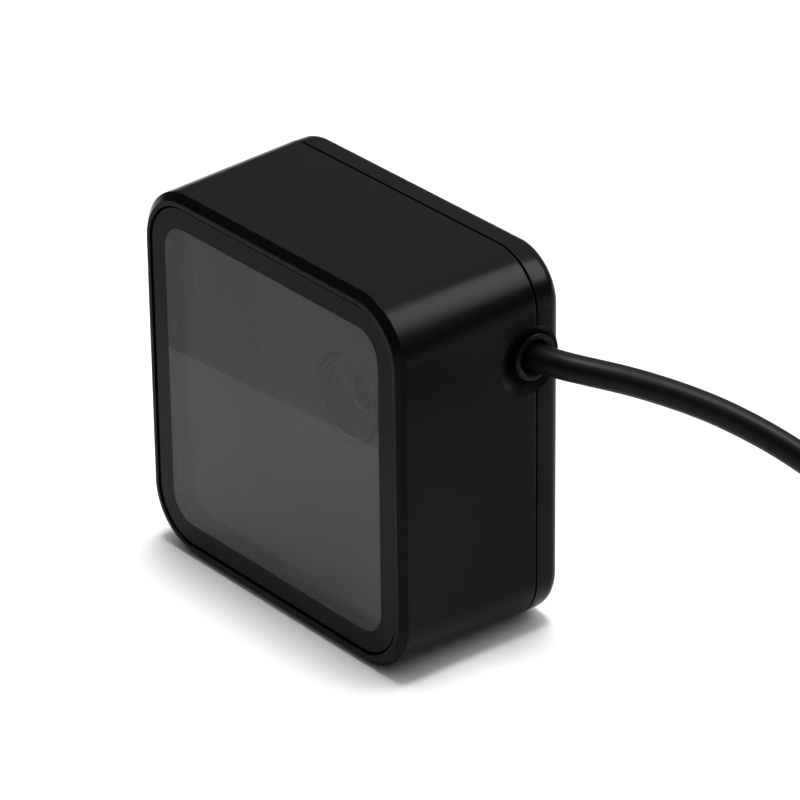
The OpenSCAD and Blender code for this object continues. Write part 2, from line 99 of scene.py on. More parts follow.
def piece_from(shape: bmesh.types.BMesh, name: str) -> bpy.types.Object:
    """Turns a finished shape into an object of the scene, with its faces looking outward.

    Args:
        shape: the shape, which is used up.
        name: the name of the object and its mesh.

    Returns:
        The object.
    """
    bmesh.ops.recalc_face_normals(shape, faces=shape.faces)
    mesh = bpy.data.meshes.new(name)
    shape.to_mesh(mesh)
    shape.free()
    piece = bpy.data.objects.new(name, mesh)
    bpy.context.scene.collection.objects.link(piece)
    return piece


@dataclass(frozen=True)
class Surface(ABC):
    """What every finish has, whatever it is made of."""

    name: str
    colour: str
    roughness: float

    @abstractmethod
    def shade(self, tree: bpy.types.NodeTree) -> bpy.types.Node:
        """Adds the finish's own nodes.

        Args:
            tree: the material's node tree.

        Returns:
            The node that shades the surface.
        """

    def material(self) -> bpy.types.Material:
        """Builds the material.

        Returns:
            The finished material.
        """
        material = bpy.data.materials.new(self.name)
        material.use_nodes = True
        tree = material.node_tree
        tree.nodes.clear()
        shader = self.shade(tree)
        add_node(tree, "ShaderNodeOutputMaterial", links={"Surface": shader.outputs["BSDF"]})
        return material


@dataclass(frozen=True)
class MouldedPlastic(Surface):
    """A moulded plastic, and by the same rules a pressed ceramic, a polished glass or a foam.

    Its colour and gloss vary a little over centimetres as handled mouldings do, and its edges may
    be rounded as a tool cannot cut a sharp one. The grain of an eroded tool is finer than 0.1 mm,
    which no pixel shows, so it is drawn a few times coarser, as a shallow bump.
    """

    gloss: float = 0.5
    ior: float = 1.5
    grain_mm: float = 0.3
    grain_depth_mm: float = 0.004
    edge_mm: float = 0.0
    edge_samples: int = 6
    handling_mm: float = 18
    # Darkest and lightest share of the colour that handling leaves
    tint: tuple[float, float] = (0.9, 1.1)
    # By how much handling changes the roughness, and over which part of the noise's range
    sheen: float = 0.02
    sheen_range: tuple[float, float] = (0.35, 0.65)

    def shade(self, tree: bpy.types.NodeTree) -> bpy.types.Node:
        """Adds grain, tint, sheen and rounded edges.

        Args:
            tree: the material's node tree.

        Returns:
            The node that shades the surface.
        """
        place = add_node(tree, "ShaderNodeTexCoord").outputs["Object"]
        grain = add_node(
            tree,
            "ShaderNodeTexNoise",
            {"Scale": 1 / (self.grain_mm * MM), "Detail": 2.0, "Roughness": 0.5},
            {"Vector": place},
        )
        handling = add_node(
            tree,
            "ShaderNodeTexNoise",
            {"Scale": 1 / (self.handling_mm * MM), "Detail": 3.0},
            {"Vector": place},
        )
        base = linear(self.colour)
        dark, light = ([c * share for c in base[:3]] + [1] for share in self.tint)
        tinted = add_node(
            tree,
            "ShaderNodeMix",
            {"data_type": "RGBA", 6: dark, 7: light},
            {0: handling.outputs["Fac"]},
        )
        sheen = add_node(
            tree,
            "ShaderNodeMapRange",
            {
                "From Min": self.sheen_range[0],
                "From Max": self.sheen_range[1],
                "To Min": self.roughness - self.sheen,
                "To Max": self.roughness + self.sheen,
            },
            {"Value": handling.outputs["Fac"]},
        )
        bump = add_node(
            tree,
            "ShaderNodeBump",
            {"Strength": 1.0, "Distance": self.grain_depth_mm * MM},
            {"Height": grain.outputs["Fac"]},
        )
        if self.edge_mm:
            edge = add_node(
                tree,
                "ShaderNodeBevel",
                {"samples": self.edge_samples, "Radius": self.edge_mm * MM},
            )
            tree.links.new(edge.outputs["Normal"], bump.inputs["Normal"])
        return add_node(
            tree,
            "ShaderNodeBsdfPrincipled",
            {"IOR": self.ior, "Specular IOR Level": self.gloss},
            {
                "Base Color": tinted.outputs[2],
                "Roughness": sheen.outputs["Result"],
                "Normal": bump.outputs["Normal"],
            },
        )


@dataclass(frozen=True)
class SmokedAcrylic(Surface):
    """Cast acrylic, dyed grey through: glossy on top, with the optics dim behind it.

    A cast sheet is very slightly wavy over centimetres, so what it mirrors is not quite straight.
    """

    opacity: float
    gloss: float
    ior: float = 1.49
    wave_mm: float = 25
    wave_depth_mm: float = 0.01

    def shade(self, tree: bpy.types.NodeTree) -> bpy.types.Node:
        """Adds the sheet's waves and its see-through gloss.

        Args:
            tree: the material's node tree.

        Returns:
            The node that shades the surface.
        """
        place = add_node(tree, "ShaderNodeTexCoord").outputs["Object"]
        wave = add_node(
            tree,
            "ShaderNodeTexNoise",
            {"Scale": 1 / (self.wave_mm * MM), "Detail": 1.0},
            {"Vector": place},
        )
        bump = add_node(
            tree,
            "ShaderNodeBump",
            {"Strength": 1.0, "Distance": self.wave_depth_mm * MM},
            {"Height": wave.outputs["Fac"]},
        )
        return add_node(
            tree,
            "ShaderNodeBsdfPrincipled",
            {
                "Base Color": linear(self.colour),
                "Roughness": self.roughness,
                "IOR": self.ior,
                "Specular IOR Level": self.gloss,
                "Alpha": self.opacity,
            },
            {"Normal": bump.outputs["Normal"]},
        )


@dataclass(frozen=True)
class MachinedMetal(Surface):
    """A turned, drawn or plated metal, with the fine marks of its making across it.

    The marks break its mirror into a soft glint that changes from place to place. Real ones are
    finer than 0.1 mm, and these are drawn coarser to show.
    """

    mark_mm: float = 0.2
    mark_depth_mm: float = 0.004
    # Least and greatest share of the roughness
    marked: tuple[float, float] = (0.8, 1.25)

    def shade(self, tree: bpy.types.NodeTree) -> bpy.types.Node:
        """Adds the marks, in relief and in gloss.

        Args:
            tree: the material's node tree.

        Returns:
            The node that shades the surface.
        """
        place = add_node(tree, "ShaderNodeTexCoord").outputs["Object"]
        marks = add_node(
            tree,
            "ShaderNodeTexNoise",
            {"Scale": 1 / (self.mark_mm * MM), "Detail": 2.0},
            {"Vector": place},
        )
        least, most = (self.roughness * share for share in self.marked)
        rough = add_node(
            tree,
            "ShaderNodeMapRange",
            {"To Min": least, "To Max": most},
            {"Value": marks.outputs["Fac"]},
        )
        bump = add_node(
            tree,
            "ShaderNodeBump",
            {"Strength": 0.6, "Distance": self.mark_depth_mm * MM},
            {"Height": marks.outputs["Fac"]},
        )
        return add_node(
            tree,
            "ShaderNodeBsdfPrincipled",
            {"Base Color": linear(self.colour), "Metallic": 1.0},
            {"Roughness": rough.outputs["Result"], "Normal": bump.outputs["Normal"]},
        )


@dataclass(frozen=True)
class SolderMask(Surface):
    """Glass-fibre board under a coloured solder mask: satin, with the copper tracks showing.

    The tracks are drawn a few times wider than real ones, to show.
    """

    track_colour: str
    ior: float = 1.5
    track_mm: float = 1.6
    copper_mm: float = 0.03
    # Distances from a cell's middle between which mask turns to track
    track_edge: tuple[float, float] = (0.42, 0.46)

    def shade(self, tree: bpy.types.NodeTree) -> bpy.types.Node:
        """Adds the tracks, in colour and in relief.

        Args:
            tree: the material's node tree.

        Returns:
            The node that shades the surface.
        """
        place = add_node(tree, "ShaderNodeTexCoord").outputs["Object"]
        cells = add_node(
            tree,
            "ShaderNodeTexVoronoi",
            {
                "distance": "MANHATTAN",
                "feature": "F1",
                "Scale": 1 / (self.track_mm * 2 * MM),
                "Randomness": 0.7,
            },
            {"Vector": place},
        )
        tracks = add_node(
            tree,
            "ShaderNodeMapRange",
            {"From Min": self.track_edge[0], "From Max": self.track_edge[1]},
            {"Value": cells.outputs["Distance"]},
        )
        mask = add_node(
            tree,
            "ShaderNodeMix",
            {"data_type": "RGBA", 6: linear(self.colour), 7: linear(self.track_colour)},
            {0: tracks.outputs["Result"]},
        )
        bump = add_node(
            tree,
            "ShaderNodeBump",
            {"Strength": 0.5, "Distance": self.copper_mm * MM},
            {"Height": tracks.outputs["Result"]},
        )
        return add_node(
            tree,
            "ShaderNodeBsdfPrincipled",
            {"Roughness": self.roughness, "IOR": self.ior},
            {"Base Color": mask.outputs[2], "Normal": bump.outputs["Normal"]},
        )


@dataclass(frozen=True)
class MattPaper(Surface):
    """Uncoated paper, which shows its colour alone and mirrors nothing."""

    def shade(self, tree: bpy.types.NodeTree) -> bpy.types.Node:
        """Adds the paper's one shader.

        Args:
            tree: the material's node tree.

        Returns:
            The node that shades the surface.
        """
        return add_node(
            tree,
            "ShaderNodeBsdfPrincipled",
            {
                "Base Color": linear(self.colour),
                "Roughness": self.roughness,
                "Specular IOR Level": 0.0,
            },
        )


class Finish(Enum):
    """Every finish of the scanner. The comments say what each material gives the eye."""

    # Black ABS from an eroded tool: a broad, soft sheen, and edges that catch a thin line
    HOUSING = MouldedPlastic(
        "housing_abs", "#080808", 0.24, gloss=0.05, grain_mm=0.3, edge_mm=0.25
    )
    # Black print on a smooth frame: as dark as the housing, and almost without grain
    BEZEL = MouldedPlastic(
        "bezel_black_print", "#080808", 0.2, gloss=0.047, grain_mm=0.5, grain_depth_mm=0.001
    )
    # Cast acrylic dyed through: a clear mirror over a grey depth
    WINDOW = SmokedAcrylic("smoked_acrylic", "#0a0a0b", 0.02, opacity=0.62, gloss=0.48)
    # Cell foam cut from sheet: dull, with open pores
    GASKET = MouldedPlastic(
        "cell_foam", "#161617", 0.95, gloss=0.1, grain_mm=0.5, grain_depth_mm=0.15
    )
    # Grey ABS: an even tone that throws the light forward
    CHAMBER = MouldedPlastic("chamber_grey_abs", "#4c4c4f", 0.5, gloss=0.3)
    # Opal acrylic: milky and smooth
    DIFFUSER = MouldedPlastic("opal_acrylic", "#a8a8ac", 0.55, gloss=0.4, grain_depth_mm=0.001)
    # Black nylon: half matt, to keep stray light from the lens
    OPTICS = MouldedPlastic("optics_black_nylon", "#141415", 0.55, gloss=0.4)
    # Grey nylon: pale enough for the hood's steps to show as rings through the window
    HOOD = MouldedPlastic("hood_grey_nylon", "#929296", 0.5, gloss=0.3)
    # Polished glass with a blue coating: dark, smooth and sharp in its highlights
    LENS = MouldedPlastic("coated_lens_glass", "#101826", 0.06, gloss=0.7, grain_depth_mm=0.0)
    # Silicon under a glass lid: blue-grey and glossy
    SENSOR = MouldedPlastic("sensor_die", "#1a2430", 0.15, gloss=0.6, grain_depth_mm=0.0)
    # Green mask over copper: satin
    BOARD = SolderMask("green_solder_mask", "#124226", 0.35, "#1f6a3c")
    # Black mask over copper: satin, and dark enough to stay unseen behind the window
    LIGHT_BOARD = SolderMask("black_solder_mask", "#121314", 0.35, "#1d1e1f")
    # Pressed ceramic and phosphor: pale yellow
    LED = MouldedPlastic("led_ceramic", "#ddd6b4", 0.4, gloss=0.5)
    # Epoxy moulded round the chip: dull black with a fine grit. On the plug it also paints the
    # shade inside the latch openings
    CHIP = MouldedPlastic("epoxy_package", "#161617", 0.6, gloss=0.35, grain_mm=0.15)
    # Undyed nylon: ivory
    SOCKET = MouldedPlastic("natural_nylon", "#d8d2be", 0.45, gloss=0.4)
    # Vinyl drawn round the wire: red and smooth
    WIRE = MouldedPlastic("wire_insulation", "#9c2a2a", 0.35, gloss=0.5)
    # Soft vinyl from a polished tool: black, with a long sheen along the lip
    RELIEF = MouldedPlastic("soft_vinyl", "#0a0a0b", 0.36, gloss=0.07, grain_mm=0.25)
    # Extruded vinyl: black and satin, with the drawn skin's coarser ripple
    JACKET = MouldedPlastic(
        "cable_vinyl", "#080808", 0.4, gloss=0.09, grain_mm=0.8, grain_depth_mm=0.003
    )
    # Black nylon: satin
    TIE = MouldedPlastic("tie_nylon", "#1c1c1d", 0.5, gloss=0.4)
    # Vinyl moulded over the plug: satin, with soft edges
    PLUG = MouldedPlastic("plug_vinyl", "#111112", 0.42, gloss=0.3, grain_mm=0.25, edge_mm=0.4)
    # Folded sheet steel under nickel: warm grey, dulled by use
    NICKEL = MachinedMetal("plug_nickel", "#87857f", 0.42)
    # White polyester: clean and satin
    INSERT = MouldedPlastic("plug_insert_pbt", "#d9d9d6", 0.4, gloss=0.4)
    # Zinc-plated screws: cool grey and fairly bright
    STEEL = MachinedMetal("zinc_steel", "#8d8f92", 0.3, 0.12)
    # Turned brass: yellow, with fine lathe marks
    BRASS = MachinedMetal("turned_brass", "#b48a4e", 0.28, 0.12)


NODE_FINISH: dict[str, Finish] = {
    "front_shell": Finish.HOUSING,
    "rear_cover": Finish.HOUSING,
    "window_bezel": Finish.BEZEL,
    "window": Finish.WINDOW,
    "window_gasket": Finish.GASKET,
    "light_chamber": Finish.CHAMBER,
    "diffuser": Finish.DIFFUSER,
    "camera_hood": Finish.HOOD,
    "lens_holder": Finish.OPTICS,
    "lens": Finish.LENS,
    "image_sensor": Finish.SENSOR,
    "camera_board": Finish.BOARD,
    "light_board": Finish.LIGHT_BOARD,
    "illumination_leds": Finish.LED,
    "aimer_lens": Finish.LENS,
    "aimer_led": Finish.LED,
    "main_board": Finish.BOARD,
    "decoder_chip": Finish.CHIP,
    "memory_chip": Finish.CHIP,
    "board_link": Finish.CHIP,
    "beeper": Finish.CHIP,
    "cable_socket": Finish.SOCKET,
    "cable_leads": Finish.WIRE,
    "cable_tie": Finish.TIE,
    "plug_body": Finish.PLUG,
    "plug_shell": Finish.NICKEL,
    "plug_contacts": Finish.INSERT,
    "cover_screws": Finish.STEEL,
    "board_screws": Finish.STEEL,
    "mounting_inserts": Finish.BRASS,
}


@dataclass
class Workshop:
    """Hands out each finish's material, made once."""

    made: dict[Finish, bpy.types.Material] = field(default_factory=dict)

    def material(self, finish: Finish) -> bpy.types.Material:
        """Gives the material of a finish.

        Args:
            finish: the finish.

        Returns:
            Its material, the same one each time.
        """
        if finish not in self.made:
            self.made[finish] = finish.value.material()
        return self.made[finish]

    def dress(self, piece: bpy.types.Object, finish: Finish) -> None:
        """Gives a piece one finish all over.

        Args:
            piece: the mesh or curve object.
            finish: its finish.
        """
        material = self.material(finish)
        if not piece.data.materials:
            piece.data.materials.append(material)
        for number in range(len(piece.data.materials)):
            piece.data.materials[number] = material


@dataclass(frozen=True)
class PhotoCamera:
    """The photograph's camera, fitted to the scanner's outline. Its angles are in degrees."""

    azimuth: float = 50.684
    elevation: float = 28.117
    roll: float = -0.671
    distance: float = 0.97813
    focal_pixels: float = 5014.09
    frame_pixels: float = 800
    sensor_mm: float = 36
    shift_right: float = 0.00967
    shift_up: float = -0.00051
    aim_height: float = 0.04
    nearest: float = 0.05
    farthest: float = 20

    def build(self) -> list[bpy.types.Object]:
        """Makes the camera and sets it as the scene's.

        Returns:
            The camera.
        """
        azimuth, elevation, roll = (
            math.radians(a) for a in (self.azimuth, self.elevation, self.roll)
        )
        back = Vector(
            (
                math.sin(azimuth) * math.cos(elevation),
                -math.cos(azimuth) * math.cos(elevation),
                math.sin(elevation),
            )
        )
        right = Vector((math.cos(azimuth), math.sin(azimuth), 0))
        up = back.cross(right)
        target = Vector((0, 0, self.aim_height)) + right * self.shift_right + up * self.shift_up
        rolled_right = right * math.cos(roll) + up * math.sin(roll)
        rolled_up = up * math.cos(roll) - right * math.sin(roll)
        data = bpy.data.cameras.new("photo_camera")
        data.sensor_width = self.sensor_mm
        data.lens = self.focal_pixels * self.sensor_mm / self.frame_pixels
        data.clip_start, data.clip_end = self.nearest, self.farthest
        camera = bpy.data.objects.new("photo_camera", data)
        turn = Matrix((rolled_right, rolled_up, back)).transposed().to_4x4()
        camera.matrix_world = Matrix.Translation(target + back * self.distance) @ turn
        bpy.context.scene.collection.objects.link(camera)
        bpy.context.scene.camera = camera
        return [camera]


@dataclass
class PaintedLatchShade:
    """The four latch openings of the plug's shell, two on each broad face, as dark inlays: painted
    shade standing for the unmodelled holes' dark inside.
    """

    workshop: Workshop
    # Where the lead ends in the plug, and the way that the plug points
    start: Vector
    way: Vector
    # From the start to the openings' middle along the plug, and from its middle line across
    distance: float = 0.041
    across: float = 0.0029
    half_length: float = 0.0011
    half_width: float = 0.0012
    shell_half_height: float = 0.00225
    proud: float = 0.00002
    # How far the top face's edge stands in, as a share of the half length
    inset: float = 0.25
    # Points round an opening, and the size of the circle that its straight sides cut
    points: int = 16
    rounding: float = 1.35

    def outline(self, side: int, across: float, proud: float, inset: float) -> list[Vector]:
        """Draws one ring of an opening: a circle cut off square on four sides.

        Args:
            side: 1 for the plug's upper face and -1 for the lower one.
            across: the opening's distance from the plug's middle line.
            proud: how far the ring stands out of the face.
            inset: how far it stands in from the opening's edge.

        Returns:
            The ring's points, with the plug along x.
        """
        spots = []
        for number in range(self.points):
            angle = math.tau * (number + 0.5) / self.points
            along = max(-1, min(1, self.rounding * math.cos(angle))) * (self.half_length - inset)
            off = max(-1, min(1, self.rounding * math.sin(angle))) * (self.half_width - inset)
            height = side * (self.shell_half_height + proud)
            spots.append(Vector((self.distance + along, across + off, height)))
        return spots

    def build(self) -> bpy.types.Object:
        """Makes the dark inlays that paint the shade of the openings on the plug.

        Returns:
            One piece with the four of them.
        """
        turn = self.way.to_track_quat("X", "Z").to_matrix().to_4x4()
        place = Matrix.Translation(self.start) @ turn
        inset = self.inset * self.half_length
        shape = bmesh.new()
        for side in (-1, 1):
            for across in (-self.across, self.across):
                rings = [
                    [shape.verts.new(place @ spot) for spot in self.outline(side, across, *ring)]
                    for ring in ((0, 0), (self.proud, 0), (self.proud, inset))
                ]
                shape.faces.new(rings[0])
                shape.faces.new(rings[-1])
                for ring, above in zip(rings, rings[1:]):
                    for i in range(self.points):
                        j = (i + 1) % self.points
                        shape.faces.new((ring[i], ring[j], above[j], above[i]))
        latch_shade = piece_from(shape, "latch_openings_painted_shade")
        # The dark epoxy finish is painted shade, standing for the inside of holes that are not
        # modelled
        self.workshop.dress(latch_shade, Finish.CHIP)
        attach(latch_shade, "root")
        return latch_shade


@dataclass
class Lead:
    """The scanner's lead: a free stretch, a coil of just over eight turns, and a loop to its plug.

    The coil's angles are in degrees.
    """

    workshop: Workshop
    diameter: float = 0.0056
    length: float = 1.89
    exit: tuple[float, float, float] = (0.036, 0.01335, 0.0601)
    coil_centre: tuple[float, float] = (0.157, 0.0297)
    coil_radius: float = 0.028
    tie_thickness: float = 0.0005
    first_angle: float = 90
    last_angle: float = 28
    turns: int = 8
    # Turning angle between two points of the coil, and points for each stretch of a route
    coil_step: float = 7.5
    route_steps: int = 4
    evening_rounds: int = 3
    section_steps: int = 5
    # Column and layer of each turn, from the outer bottom one to the inner top one
    seats: tuple[tuple[int, int], ...] = (
        (1, 0), (0, 0), (-1, 0), (-1, 1), (0, 1), (1, 1), (1, 2), (0, 2), (-1, 2),
    )
    # Angles of each turn between which the lead changes to the next seat, so that no two meet
    changes: tuple[tuple[int, int], ...] = (
        (265, 320), (265, 320), (220, 265), (165, 220), (165, 220), (120, 165), (70, 120),
        (70, 120),
    )
    lead_route: tuple[tuple[float, float, float], ...] = (
        (0.036, 0.0134, 0.0601), (0.039, 0.0134, 0.0601), (0.042, 0.014, 0.0601),
        (0.0455, 0.0154, 0.0599), (0.049, 0.0177, 0.0594), (0.0524, 0.0207, 0.0586),
        (0.0555, 0.0239, 0.0575), (0.0585, 0.0272, 0.0561), (0.0615, 0.0305, 0.0545),
        (0.0645, 0.0338, 0.0527), (0.0676, 0.0371, 0.0506), (0.072, 0.0419, 0.047),
        (0.077, 0.0471, 0.0423), (0.0825, 0.0519, 0.0368), (0.0888, 0.0559, 0.0304),
        (0.0958, 0.0589, 0.0236), (0.1032, 0.061, 0.0172), (0.111, 0.0622, 0.0118),
        (0.119, 0.063, 0.0078), (0.127, 0.0638, 0.005), (0.135, 0.0642, 0.0037),
        (0.143, 0.0641, 0.0033), (0.1505, 0.0636, 0.0033),
    )
    tail_route: tuple[tuple[float, float, float], ...] = (
        (0.1678, 0.0499, 0.0145), (0.1745, 0.0454, 0.0169), (0.18, 0.039, 0.0193),
        (0.1836, 0.0306, 0.0202), (0.1842, 0.0209, 0.0202), (0.181, 0.011, 0.0202),
        (0.1736, 0.0031, 0.0202), (0.1609, -0.0017, 0.0202), (0.1472, -0.0004, 0.0204),
        (0.1354, 0.0066, 0.0207), (0.1277, 0.0179, 0.0207), (0.1254, 0.0314, 0.0204),
        (0.1291, 0.0445, 0.0202), (0.138, 0.0549, 0.0202), (0.1504, 0.0606, 0.0202),
        (0.1614, 0.061, 0.0202), (0.1718, 0.0576, 0.0202), (0.1803, 0.0507, 0.0204),
        (0.186, 0.0414, 0.022), (0.1882, 0.0308, 0.0243), (0.186, 0.0203, 0.0258),
        (0.1801, 0.0117, 0.0263), (0.1719, 0.0058, 0.0264), (0.1565, 0.0023, 0.0266),
        (0.1494, 0.0042, 0.0269), (0.144, 0.0092, 0.0272), (0.1417, 0.0163, 0.0274),
        (0.143, 0.0235, 0.0276), (0.1476, 0.0293, 0.0276), (0.1508, 0.0317, 0.0276),
    )

    def curve_through(self, points: tuple[tuple[float, float, float], ...]) -> list[Vector]:
        """Draws one smooth line through a route's points.

        Args:
            points: the route.

        Returns:
            The line's points, with both ends.
        """
        line = [Vector(p) for p in points]
        padded = [2 * line[0] - line[1], *line, 2 * line[-1] - line[-2]]
        made = []
        for a, b, c, d in zip(padded, padded[1:], padded[2:], padded[3:]):
            for number in range(self.route_steps):
                t = number / self.route_steps
                made.append(
                    0.5
                    * (
                        2 * b
                        + (c - a) * t
                        + (2 * a - 5 * b + 4 * c - d) * t**2
                        + (3 * b - a - 3 * c + d) * t**3
                    )
                )
        return [*made, line[-1]]

    def seat(self, number: int) -> Vector:
        """Gives a turn's seat in the coil.

        Args:
            number: the turn, from 0.

        Returns:
            The radius and the height of its centreline.
        """
        column, layer = self.seats[number]
        radius = self.coil_radius + column * self.diameter
        return Vector((radius, self.tie_thickness + self.diameter * (layer + 0.5)))

    def coil(self) -> list[Vector]:
        """Winds the coil.

        Returns:
            The centreline's points, without the ends that the routes give.
        """
        whole = self.turns * 360 + self.last_angle
        count = round(whole / self.coil_step)
        made = []
        for number in range(1, count):
            angle = whole * number / count
            turn, within = divmod(angle, 360)
            place = self.seat(int(turn))
            if turn < self.turns:
                start, end = self.changes[int(turn)]
                share = min(1, max(0, (within - start) / (end - start)))
                place = place.lerp(self.seat(int(turn) + 1), share * share * (3 - 2 * share))
            around = math.radians(self.first_angle - angle)
            x = self.coil_centre[0] + place[0] * math.cos(around)
            y = self.coil_centre[1] + place[0] * math.sin(around)
            made.append(Vector((x, y, place[1])))
        return made

    def centreline(self) -> list[Vector]:
        """Joins route, coil and tail, and evens out the joints as a stiff jacket does.

        Returns:
            The lead's whole centreline.
        """
        out, back = (self.curve_through(route) for route in (self.lead_route, self.tail_route))
        line = [*out, *self.coil(), *back]
        for _ in range(self.evening_rounds):
            line[2:-2] = [
                (line[i - 1] + 2 * line[i] + line[i + 1]) / 4 for i in range(2, len(line) - 2)
            ]
        return line

    def build(self) -> list[bpy.types.Object]:
        """Returns:
            The lead and the dark inlays on its plug that paint the latch openings' shade.
        """
        line = self.centreline()
        data = bpy.data.curves.new("lead", "CURVE")
        data.dimensions = "3D"
        data.bevel_depth = self.diameter / 2
        data.bevel_resolution = self.section_steps
        data.use_fill_caps = True
        spline = data.splines.new("POLY")
        spline.points.add(len(line) - 1)
        for point, place in zip(spline.points, line):
            point.co = (*place, 1)
        spline.use_smooth = True
        lead = bpy.data.objects.new("lead", data)
        bpy.context.scene.collection.objects.link(lead)
        self.workshop.dress(lead, Finish.JACKET)
        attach(lead, "root")
        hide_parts("cable", "cable_coil")
        before, end = (Vector(p) for p in self.tail_route[-2:])
        # The plug's latch openings are dark inlays of painted shade, not holes
        latch_shade = PaintedLatchShade(self.workshop, end, end - before).build()
        return [lead, latch_shade]


@dataclass
class StrainRelief:
    """The rubber boot at the lead's outlet: a lining in the housing's dish, a collar and a neck.

    It closes the joint of shell and cover inside the dish, and grips the lead with a rolled lip.
    All its sizes are in millimetres: x along the lead, and a radius from the lead's axis. The
    dish is a cap of a ball, and its centre lies a little before the lead's axis.
    """

    workshop: Workshop
    axis: tuple[float, float] = (13.35, 60.1)
    dish_y: float = 11.55
    dish_rim: float = 7.15
    ball: float = 10.14
    ball_x: float = 47.14
    collar: float = 4.9
    # The lining's thickness, and the stretch at the rim over which it thins out
    lining: float = 0.22
    lining_end: float = 0.8
    # How far its underside and its thinned edge keep off the dish
    gap_under: float = 0.005
    gap_over: float = 0.01
    # Shares of the way from collar to rim at which the lining's section has points
    lining_points: tuple[float, ...] = (0, 0.25, 0.5, 0.75, 0.9, 1)
    # Beyond this radius the lip gives way where the lining stands higher
    lip_edge: float = 4.8
    # From the bore round the lead over the lip to the collar's edge
    lip: tuple[tuple[float, float], ...] = (
        (36.0, 0), (36.0, 2.95), (38.5, 2.95), (38.8, 3.05), (39.2, 3.3), (39.5, 3.5),
        (39.7, 3.72), (39.8, 4.0), (39.8, 4.4), (39.75, 4.66), (39.6, 4.83), (39.35, 4.9),
    )
    # From under the dish back to the end inside the housing
    neck: tuple[tuple[float, float], ...] = (
        (35.4, 4.9), (35.4, 3.7), (33.4, 3.7), (33.4, 4.9), (31.8, 4.9), (31.8, 0),
    )
    segments: int = 96
    crease: float = 35

    def dish(self, angle: float, radius: float) -> tuple[float, float]:
        """Finds the dish's surface at a place round the lead's axis.

        Args:
            angle: the angle round the axis, from the back of the housing.
            radius: the distance from the axis.

        Returns:
            The surface's x and the distance from the dish's own centre.
        """
        along = self.axis[0] - self.dish_y + radius * math.cos(angle)
        off = math.hypot(along, radius * math.sin(angle))
        return self.ball_x - math.sqrt(self.ball**2 - off**2), off

    def profile(self, angle: float) -> list[tuple[float, float]]:
        """Draws the boot's section on one side of the axis.

        Args:
            angle: the angle round the axis, from the back of the housing.

        Returns:
            The section's points, x and radius, from the bore's floor to the inner end.
        """
        shift = self.axis[0] - self.dish_y
        rim = math.sqrt(self.dish_rim**2 - (shift * math.sin(angle)) ** 2)
        rim -= shift * math.cos(angle)
        over, under = [], []
        for share in self.lining_points:
            radius = self.collar + (rim - self.collar) * share
            x, off = self.dish(angle, radius)
            thickness = self.lining * min(1, (self.dish_rim - off) / self.lining_end)
            over.append((x + self.gap_over + thickness, radius))
            under.insert(0, (x + self.gap_under, radius))
        foot = over[0][0] + self.gap_over
        lip = [(max(x, foot) if radius > self.lip_edge else x, radius) for x, radius in self.lip]
        return [*lip, *over, *under[1:], *self.neck]

    def spot(self, x: float, radius: float, angle: float) -> Vector:
        """Turns a place of the section into one of the scene.

        Args:
            x: the place along the lead.
            radius: its distance from the lead's axis.
            angle: its angle round the axis, from the back of the housing.

        Returns:
            The place in metres.
        """
        y = self.axis[0] + radius * math.cos(angle)
        z = self.axis[1] + radius * math.sin(angle)
        return Vector((x * MM, y * MM, z * MM))

    def build(self) -> list[bpy.types.Object]:
        """Makes the boot as one closed mesh in place of its plain solid.

        Returns:
            The boot.
        """
        angles = [math.tau * number / self.segments for number in range(self.segments)]
        sections = [self.profile(angle) for angle in angles]
        shape = bmesh.new()
        floor, end = (shape.verts.new(self.spot(sections[0][i][0], 0, 0)) for i in (0, -1))
        rows = [
            [shape.verts.new(self.spot(x, radius, angle)) for x, radius in section[1:-1]]
            for angle, section in zip(angles, sections)
        ]
        for row, after in zip(rows, rows[1:] + rows[:1]):
            shape.faces.new((floor, row[0], after[0]))
            shape.faces.new((end, after[-1], row[-1]))
            for i in range(len(row) - 1):
                shape.faces.new((row[i], row[i + 1], after[i + 1], after[i]))
        for face in shape.faces:
            face.smooth = True
        boot = piece_from(shape, "outlet_boot")
        boot.data.set_sharp_from_angle(angle=math.radians(self.crease))
        self.workshop.dress(boot, Finish.RELIEF)
        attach(boot, "root")
        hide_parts("strain_relief")
        return [boot]


